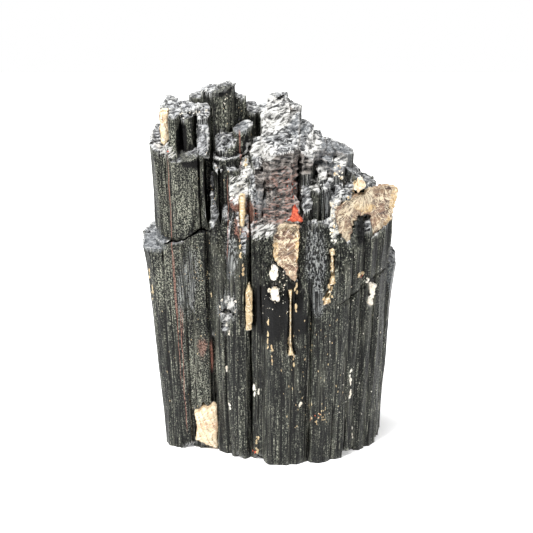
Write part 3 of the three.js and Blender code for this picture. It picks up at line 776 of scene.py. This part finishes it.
class Recipe:
    """A material's node tree, with short ways to add the nodes it needs."""

    def __init__(self, name):
        self.material = bpy.data.materials.new(name)
        self.material.use_nodes = True
        self.tree = self.material.node_tree
        self.shader = self.tree.nodes["Principled BSDF"]

    def node(self, kind, **settings):
        made = self.tree.nodes.new(kind)
        for key, value in settings.items():
            setattr(made, key, value)
        return made

    def link(self, source, target):
        """Leads another node's output, or a plain number or colour, into a socket."""
        if isinstance(source, (int, float, tuple)):
            target.default_value = source
        else:
            self.tree.links.new(source, target)

    def attribute(self, name, output="Fac"):
        return self.node("ShaderNodeAttribute", attribute_name=name).outputs[output]

    def three(self, vector):
        """The three numbers that a vector carries."""
        made = self.node("ShaderNodeSeparateXYZ")
        self.link(vector, made.inputs[0])
        return made.outputs[0], made.outputs[1], made.outputs[2]

    def millimetres(self):
        """The place on the object, in mm."""
        return self.scaled(self.node("ShaderNodeTexCoord").outputs["Object"], (1 / MM, 1 / MM, 1 / MM))

    def scaled(self, vector, scale):
        made = self.node("ShaderNodeMapping")
        self.link(vector, made.inputs["Vector"])
        made.inputs["Scale"].default_value = scale
        return made.outputs["Vector"]

    def noise(self, vector, scale, detail=3.0, roughness=0.55, distortion=0.0):
        made = self.node("ShaderNodeTexNoise")
        self.link(vector, made.inputs["Vector"])
        made.inputs["Scale"].default_value = scale
        made.inputs["Detail"].default_value = detail
        made.inputs["Roughness"].default_value = roughness
        made.inputs["Distortion"].default_value = distortion
        return made.outputs["Fac"]

    def cracks(self, vector, scale):
        """Distance to the nearest border of a net of cells."""
        made = self.node("ShaderNodeTexVoronoi", feature="DISTANCE_TO_EDGE")
        self.link(vector, made.inputs["Vector"])
        made.inputs["Scale"].default_value = scale
        return made.outputs["Distance"]

    def flecks(self, vector, scale, size, rarity):
        """Round flecks, as two masks to multiply: one is the shape, the other leaves some cells out."""
        made = self.node("ShaderNodeTexVoronoi")
        self.link(vector, made.inputs["Vector"])
        made.inputs["Scale"].default_value = scale
        kept = self.node("ShaderNodeSeparateColor")
        self.link(made.outputs["Color"], kept.inputs[0])
        shape = self.ramp(made.outputs["Distance"], (size, size * 0.6))
        return shape, self.ramp(kept.outputs[0], (rarity, rarity + 0.05))

    def ramp(self, factor, stops):
        """A smooth step between the first two stops, from 0 to 1 or between the last two stops."""
        made = self.node("ShaderNodeMapRange", interpolation_type="SMOOTHSTEP")
        self.link(factor, made.inputs["Value"])
        for name, stop in zip(("From Min", "From Max", "To Min", "To Max"), (*stops, 0.0, 1.0)):
            made.inputs[name].default_value = stop
        return made.outputs["Result"]

    def math(self, operation, first, second=0.0):
        made = self.node("ShaderNodeMath", operation=operation)
        self.link(first, made.inputs[0])
        self.link(second, made.inputs[1])
        return made.outputs[0]

    def line(self, value, width):
        """1 along the lines where a noise passes its middle value, 0 away from them."""
        away = self.math("ABSOLUTE", self.math("SUBTRACT", value, 0.5))
        return self.ramp(away, (width * 0.4, width, 1.0, 0.0))

    def veins(self, straight):
        """For each vein of the table, 1 along its thin upright line on the front and 0 beside it."""
        x, y, z = self.three(straight)
        wander = self.noise(self.scaled(straight, (0.0, 0.0, 0.08)), 1.0, 2.0, 0.6)
        wander = self.math("MULTIPLY", wander, VEIN_WANDER)
        front = self.ramp(y, (0.0, -4.0))
        found = []
        for place, low, high, width in VEINS:
            away = self.math("SUBTRACT", x, self.math("ADD", wander, place - VEIN_WANDER / 2))
            there = self.ramp(self.math("ABSOLUTE", away), (0.3 * width, 0.6 * width, 1.0, 0.0))
            low_end = self.ramp(z, (low, low + VEIN_END))
            high_end = self.ramp(z, (high, high - VEIN_END))
            ends = self.math("MULTIPLY", low_end, high_end)
            found.append(self.math("MULTIPLY", self.math("MULTIPLY", there, ends), front))
        return found

    def ragged(self, mask, grain, strength=0.9):
        """A soft mask with its rim broken up by a noise."""
        strayed = self.math("MULTIPLY", self.math("SUBTRACT", grain, 0.5), strength * 4)
        there = self.ramp(mask, (0.02, 0.3))
        return self.math("MULTIPLY", there, self.ramp(self.math("ADD", mask, strayed), (0.35, 0.8)))

    def mixed(self, factor, first, second):
        """The first colour where the factor is 0, the second where it is 1."""
        made = self.node("ShaderNodeMix", data_type="RGBA")
        self.link(factor, made.inputs["Factor"])
        self.link(first, made.inputs["A"])
        self.link(second, made.inputs["B"])
        return made.outputs["Result"]

    def bump(self, height, distance, strength):
        made = self.node("ShaderNodeBump")
        self.link(height, made.inputs["Height"])
        made.inputs["Distance"].default_value = distance
        made.inputs["Strength"].default_value = strength
        return made.outputs["Normal"]


def colour(r, g, b):
    return (r, g, b, 1.0)


BLACK = colour(0.001, 0.001, 0.001)
SOOT = colour(0.002, 0.002, 0.002)
COAL = colour(0.003, 0.003, 0.003)
VEIN_RED = colour(0.30, 0.14, 0.105)


def schorl():
    """Black tourmaline: grown faces, breaks with painted glints, torn faces, stains and cracks, with
    painted highlights on crests and painted shade in creases and cracks.
    """
    r = Recipe("black_tourmaline")
    straight = r.attribute("straight", "Vector")
    broken, torn, cracked = r.three(r.attribute("texture", "Vector"))
    crisp = r.attribute("crisp")
    red, pale, silver = r.three(r.attribute("red_pale_silver", "Vector"))
    black, smooth, blue = r.three(r.attribute("black_smooth_blue", "Vector"))
    dusty = r.attribute("dusty")
    on_break = r.ramp(broken, (0.2, 0.8))
    # Painted shade in the creases, from the convexity.
    creases = r.ramp(crisp, (-0.26, -0.02, 0.97, 0.0))

    # The grain of the crystal, from long streaks to grit.
    drawn_out = r.scaled(straight, (1.0, 1.0, 0.05))
    streaks = r.noise(drawn_out, 1.3, 3.0, 0.6)
    fine = r.noise(drawn_out, 2.8, 2.0, 0.6)
    broad = r.noise(r.scaled(straight, (1.0, 1.0, 0.3)), 0.2, 2.0, 0.5)
    grit = r.noise(straight, 2.2, 4.0, 0.75)
    scales = r.noise(r.scaled(straight, (1.0, 1.0, 0.7)), 3.3, 1.5, 0.7)
    foil = r.noise(r.scaled(r.attribute("flow", "Vector"), (0.45, 1.25, 0.8)), 0.9, 5.0, 0.7, 0.5)
    tear = r.noise(r.scaled(straight, (0.4, 0.4, 1.1)), 1.3, 4.0, 0.75, 0.6)

    # Grown faces: a weave of upright lines and scales, with flecks, grooves, painted highlights on
    # crests, painted shade in creases, and silver patches that are partly a silvery coating and partly
    # a painted reflection.
    line_share = r.ramp(r.math("MAXIMUM", smooth, dusty), (0.0, 0.6, 0.44, 0.22))
    weave = r.math("ADD", r.math("MULTIPLY", r.math("SUBTRACT", fine, scales), line_share), scales)
    weave = r.math("ADD", weave, r.math("MULTIPLY", dusty, 0.06))
    body = r.mixed(r.ramp(weave, (0.44, 0.55)), SOOT, colour(0.045, 0.049, 0.040))
    body = r.mixed(r.ramp(weave, (0.55, 0.64, 0.0, 0.9)), body, colour(0.37, 0.37, 0.295))
    body = r.mixed(r.ramp(streaks, (0.475, 0.38, 0.0, 0.65)), body, COAL)
    body = r.mixed(r.line(streaks, 0.02), body, BLACK)
    dots = r.math("MULTIPLY", *r.flecks(r.scaled(straight, (1.0, 1.0, 0.7)), 1.5, 0.24, 0.86))
    dashes = r.math("MULTIPLY", *r.flecks(r.scaled(straight, (1.0, 1.0, 0.08)), 1.3, 0.15, 0.84))
    flecked = r.math("MULTIPLY", r.math("MAXIMUM", dots, dashes), r.ramp(broad, (0.3, 0.7, 0.25, 0.8)))
    body = r.mixed(flecked, body, colour(0.36, 0.35, 0.28))
    tone = r.noise(r.scaled(straight, (1.0, 1.0, 0.12)), 0.35, 2.0, 0.5)
    body = r.mixed(r.ramp(tone, (0.50, 0.36, 0.0, 0.5)), body, COAL)
    body = r.mixed(r.ramp(tone, (0.56, 0.70, 0.0, 0.25)), body, colour(0.14, 0.14, 0.11))
    # Painted highlights on crests and painted shade in creases of the grown faces.
    body = r.mixed(r.ramp(crisp, (0.10, 0.45, 0.0, 0.4)), body, colour(0.20, 0.20, 0.165))
    body = r.mixed(r.ramp(crisp, (-0.16, -0.01, 0.95, 0.0)), body, BLACK)
    # Silver patches: partly a silvery coating, partly a painted reflection.
    coat_and_painted_sheen = r.mixed(r.ramp(fine, (0.44, 0.60)), colour(0.006, 0.006, 0.007), colour(0.30, 0.31, 0.31))
    body = r.mixed(r.math("MULTIPLY", r.ragged(silver, scales), 0.6), body, coat_and_painted_sheen)
    grown = body
    # Black patches: glossy black, and painted shade in the left tower's recess.
    body = r.mixed(r.ragged(black, streaks, 0.4), body, BLACK)

    # Broken and torn faces, with painted highlights on the foil pattern's peaks and on crests, and
    # painted shade in creases.
    facets = r.mixed(r.ramp(foil, (0.38, 0.58)), colour(0.016, 0.016, 0.017), colour(0.31, 0.315, 0.32))
    facets = r.mixed(r.line(foil, 0.018), facets, colour(0.005, 0.005, 0.005))
    # Painted highlights on the foil's peaks and on crests, and painted shade in creases.
    facets = r.mixed(r.ramp(foil, (0.59, 0.67, 0.0, 0.9)), facets, colour(0.64, 0.64, 0.63))
    facets = r.mixed(r.ramp(crisp, (0.05, 0.40, 0.0, 0.8)), facets, colour(0.58, 0.58, 0.56))
    facets = r.mixed(creases, facets, SOOT)
    skin = r.mixed(r.ramp(tear, (0.40, 0.60)), colour(0.011, 0.009, 0.008), colour(0.19, 0.165, 0.145))
    skin = r.mixed(r.ramp(tear, (0.58, 0.68, 0.0, 0.85)), skin, colour(0.44, 0.40, 0.37))
    skin = r.mixed(r.line(tear, 0.014), skin, COAL)
    # Painted highlights on crests and painted shade in creases of the torn faces.
    skin = r.mixed(r.ramp(crisp, (0.05, 0.35, 0.0, 0.6)), skin, colour(0.42, 0.38, 0.35))
    skin = r.mixed(creases, skin, SOOT)
    facets = r.mixed(r.math("MULTIPLY", torn, 0.9), facets, skin)
    # On breaks the black patches take the grown faces' colours: glossy black, and painted shade on the
    # floor of the left tower's recess.
    facets = r.mixed(r.math("MULTIPLY", r.ragged(black, grit, 0.5), 0.9), facets, grown)
    whole = r.mixed(on_break, body, facets)

    # Stains, veins and crusts over both, and painted shade inside the cracks.
    light = r.mixed(on_break, r.ramp(scales, (0.40, 0.52)), r.ramp(tear, (0.50, 0.60)))
    slate = r.mixed(r.ramp(grit, (0.35, 0.7)), colour(0.035, 0.041, 0.047), colour(0.30, 0.32, 0.34))
    whole = r.mixed(r.math("MULTIPLY", r.ragged(blue, grit, 0.5), 0.4), whole, slate)
    stained = r.math("MULTIPLY", r.ragged(red, scales, 0.5), light)
    whole = r.mixed(r.math("MULTIPLY", stained, 0.5), whole, colour(0.34, 0.15, 0.11))
    worn = r.ramp(scales, (0.40, 0.55, 0.25, 0.9))
    for vein in r.veins(straight):
        whole = r.mixed(r.math("MULTIPLY", vein, worn), whole, VEIN_RED)
    crust = r.mixed(r.ramp(foil, (0.42, 0.56)), colour(0.10, 0.098, 0.092), colour(0.66, 0.65, 0.62))
    whole = r.mixed(r.math("MULTIPLY", r.ragged(pale, foil), 0.75), whole, crust)
    # Painted shade inside the cracks.
    whole = r.mixed(r.ramp(cracked, (0.3, 0.7)), whole, BLACK)

    r.shader.inputs["Specular IOR Level"].default_value = 0.17
    r.link(whole, r.shader.inputs["Base Color"])
    r.link(r.ramp(grit, (0.3, 0.7, 0.2, 0.55)), r.shader.inputs["Roughness"])
    rough = r.mixed(on_break, r.mixed(0.5, fine, scales), foil)
    r.link(r.bump(rough, 0.45 * MM, 0.8), r.shader.inputs["Normal"])
    return r.material


def mica():
    """Crumpled golden-brown mica with creases that fan out."""
    r = Recipe("golden_mica")
    where = r.millimetres()
    fan = r.attribute("fan", "Vector")
    crisp = r.attribute("crisp")
    cloud = r.noise(where, 0.4, 4.0, 0.6, 0.5)
    crinkle = r.noise(r.scaled(fan, (0.3, 1.0, 0.8)), 0.75, 3.0, 0.55, 0.5)
    across = r.noise(r.scaled(fan, (0.8, 0.25, 0.8)), 0.6, 3.0, 0.55, 1.0)
    grit = r.noise(r.scaled(fan, (0.3, 1.5, 0.8)), 1.1, 3.0, 0.65, 0.8)
    cream = colour(0.70, 0.60, 0.43)
    body = r.mixed(r.ramp(cloud, (0.36, 0.60)), colour(0.075, 0.043, 0.030), colour(0.23, 0.135, 0.085))
    body = r.mixed(r.ramp(crinkle, (0.50, 0.60, 0.0, 0.5)), body, colour(0.34, 0.24, 0.15))
    body = r.mixed(r.ramp(grit, (0.57, 0.67, 0.0, 0.4)), body, colour(0.50, 0.39, 0.25))
    body = r.mixed(r.ramp(grit, (0.43, 0.35, 0.0, 0.6)), body, colour(0.05, 0.033, 0.022))
    gold = r.math("MULTIPLY", r.ramp(r.attribute("gold"), (0.05, 0.9)), r.ramp(grit, (0.38, 0.52)))
    body = r.mixed(r.math("MULTIPLY", gold, 0.8), body, colour(0.62, 0.43, 0.20))
    light = r.math("MULTIPLY", r.ramp(r.attribute("cream"), (0.1, 1.0)), r.ramp(grit, (0.42, 0.58)))
    body = r.mixed(r.math("MULTIPLY", light, 0.9), body, cream)
    body = r.mixed(r.math("MULTIPLY", r.line(crinkle, 0.016), 0.8), body, cream)
    body = r.mixed(r.math("MULTIPLY", r.line(across, 0.02), 0.85), body, cream)
    # Painted highlights on crests and painted shade in creases.
    body = r.mixed(r.ramp(crisp, (0.2, 0.7, 0.0, 0.35)), body, cream)
    body = r.mixed(r.ramp(crisp, (-0.50, -0.12, 0.7, 0.0)), body, colour(0.06, 0.04, 0.025))
    r.link(body, r.shader.inputs["Base Color"])
    r.shader.inputs["Specular IOR Level"].default_value = 0.5
    r.link(r.ramp(cloud, (0.3, 0.7, 0.25, 0.5)), r.shader.inputs["Roughness"])
    r.link(r.bump(crinkle, 0.8 * MM, 0.8), r.shader.inputs["Normal"])
    return r.material


def feldspar(name, light, deep):
    """Cleaved feldspar: a light paint with deeper clouds, dark seams, painted highlights on crests and
    painted shade in creases.
    """
    r = Recipe(name)
    where = r.millimetres()
    crisp = r.attribute("crisp")
    cloud = r.noise(where, 0.35, 4.0, 0.6)
    grit = r.noise(where, 2.0, 4.0, 0.7)
    net = r.cracks(where, 0.9)
    body = r.mixed(r.ramp(cloud, (0.42, 0.66, 0.0, 0.7)), colour(*light), colour(*deep))
    body = r.mixed(r.ramp(grit, (0.42, 0.30, 0.0, 0.6)), body, colour(*(0.35 * v for v in light)))
    body = r.mixed(r.ramp(grit, (0.58, 0.72, 0.0, 0.8)), body, colour(0.93, 0.91, 0.84))
    body = r.mixed(r.ramp(net, (0.05, 0.01, 0.0, 0.5)), body, colour(*(0.45 * v for v in deep)))
    # Painted highlights on crests and painted shade in creases.
    body = r.mixed(r.ramp(crisp, (0.05, 0.4, 0.0, 0.7)), body, colour(0.95, 0.92, 0.84))
    body = r.mixed(r.ramp(crisp, (-0.4, -0.05, 0.75, 0.0)), body, colour(*(0.25 * v for v in deep)))
    r.link(body, r.shader.inputs["Base Color"])
    r.link(r.ramp(grit, (0.3, 0.7, 0.4, 0.65)), r.shader.inputs["Roughness"])
    r.link(r.bump(grit, 0.2 * MM, 0.8), r.shader.inputs["Normal"])
    return r.material


def iron_clay():
    """Brick-red iron clay."""
    r = Recipe("iron_clay")
    where = r.millimetres()
    crisp = r.attribute("crisp")
    grit = r.noise(where, 1.4, 5.0, 0.7)
    body = r.mixed(r.ramp(grit, (0.36, 0.64)), colour(0.30, 0.035, 0.02), colour(0.78, 0.16, 0.07))
    body = r.mixed(r.ramp(grit, (0.62, 0.74, 0.0, 0.7)), body, colour(0.92, 0.42, 0.22))
    # Painted shade in creases.
    body = r.mixed(r.ramp(crisp, (-0.4, -0.05, 0.7, 0.0)), body, colour(0.09, 0.012, 0.008))
    r.link(body, r.shader.inputs["Base Color"])
    r.shader.inputs["Roughness"].default_value = 0.85
    r.link(r.bump(grit, 0.3 * MM, 0.9), r.shader.inputs["Normal"])
    return r.material


camera()
studio()
floor()
tourmaline = prisms()
all_crumbs(tourmaline, grains())
